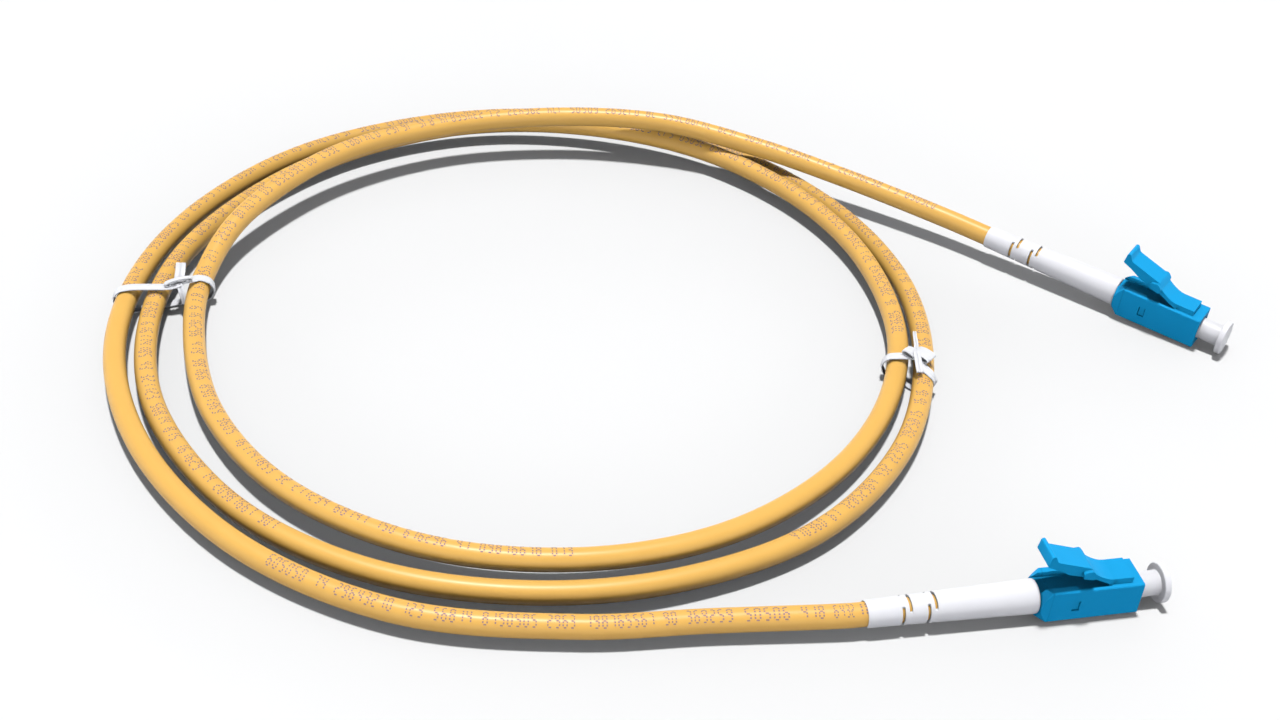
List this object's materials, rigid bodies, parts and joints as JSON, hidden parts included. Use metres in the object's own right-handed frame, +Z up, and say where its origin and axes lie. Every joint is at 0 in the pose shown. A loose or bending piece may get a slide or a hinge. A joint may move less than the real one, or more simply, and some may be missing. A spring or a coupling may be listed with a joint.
{
  "type": "fiber optic patch cord",
  "caption": "Simplex fibre optic patch cord in orange-yellow jacket, coiled and tied, with small blue latching plugs, white boots and dust caps.",
  "frame": {"origin": "on the table, below the middle of the box that holds the two plugs; the hank of cord lies to the -X side", "axes": "+Z up from the table, +X from the hank towards the plugs, +Y from plug b towards plug a"},
  "size_m": [0.1613, 0.1218, 0.011],
  "materials": {
    "jacket": "semi-gloss orange-yellow sheath with fine grey dotted print",
    "yarn": "loose golden aramid strands",
    "buffer": "smooth off-white coating",
    "silica": "clear, polished ends",
    "blue_plastic": "satin moulded blue plastic",
    "boot_rubber": "satin white, flexible",
    "cap_plastic": "satin white, slightly soft",
    "zirconia": "polished white ceramic",
    "plated_brass": "nickel-plated brass, turned",
    "steel": "bright drawn steel",
    "tie_plastic": "satin white ribbon with a raised middle rib"
  },
  "bodies": {
    "cord_and_housings": {"housing_a": "blue_plastic", "rear_body_a": "blue_plastic", "boot_a": "boot_rubber", "ferrule_spring_a": "steel", "crimp_post_a": "plated_brass", "crimp_sleeve_a": "steel", "housing_b": "blue_plastic", "rear_body_b": "blue_plastic", "boot_b": "boot_rubber", "ferrule_spring_b": "steel", "crimp_post_b": "plated_brass", "crimp_sleeve_b": "steel", "cable_jacket": "jacket", "aramid_yarn": "yarn", "tight_buffer": "buffer", "optical_fibre": "silica", "twist_tie_left": "tie_plastic", "tie_wire_left": "steel", "twist_tie_right": "tie_plastic", "tie_wire_right": "steel"},
    "latch_arm_a": {"latch_a": "blue_plastic"},
    "ferrule_group_a": {"ferrule_a": "zirconia", "bare_fibre_a": "silica", "ferrule_flange_a": "plated_brass"},
    "cap_a": {"dust_cap_a": "cap_plastic"},
    "latch_arm_b": {"latch_b": "blue_plastic"},
    "ferrule_group_b": {"ferrule_b": "zirconia", "bare_fibre_b": "silica", "ferrule_flange_b": "plated_brass"},
    "cap_b": {"dust_cap_b": "cap_plastic"}
  },
  "joints": [
    {"name": "latch_bend_a", "type": "hinge", "parent": "cord_and_housings", "child": "latch_arm_a", "pos_m": [0.02087, 0.02669, 0.00552], "axis": [-0.5045, -0.8634, 0], "range_deg": [0, 12], "stiffness_Nm_per_rad": 0.05, "springref_deg": -1.15},
    {"name": "ferrule_float_a", "type": "slide", "parent": "cord_and_housings", "child": "ferrule_group_a", "axis": [-0.863, 0.5043, 0.0314], "range_m": [0, 0.0006], "stiffness_N_per_m": 1500, "springref_m": -0.0033, "deforming": ["ferrule_spring_a"]},
    {"name": "cap_pull_a", "type": "slide", "parent": "cord_and_housings", "child": "cap_a", "axis": [0.863, -0.5043, -0.0314], "range_m": [0, 0.008]},
    {"name": "latch_bend_b", "type": "hinge", "parent": "cord_and_housings", "child": "latch_arm_b", "pos_m": [0.00137, -0.03356, 0.00527], "axis": [0.2773, -0.9608, 0], "range_deg": [0, 12], "stiffness_Nm_per_rad": 0.05, "springref_deg": -1.15},
    {"name": "ferrule_float_b", "type": "slide", "parent": "cord_and_housings", "child": "ferrule_group_b", "axis": [-0.9608, -0.2773, 0], "range_m": [0, 0.0006], "stiffness_N_per_m": 1500, "springref_m": -0.0033, "deforming": ["ferrule_spring_b"]},
    {"name": "cap_pull_b", "type": "slide", "parent": "cord_and_housings", "child": "cap_b", "axis": [0.9608, 0.2773, 0], "range_m": [0, 0.008]}
  ]
}
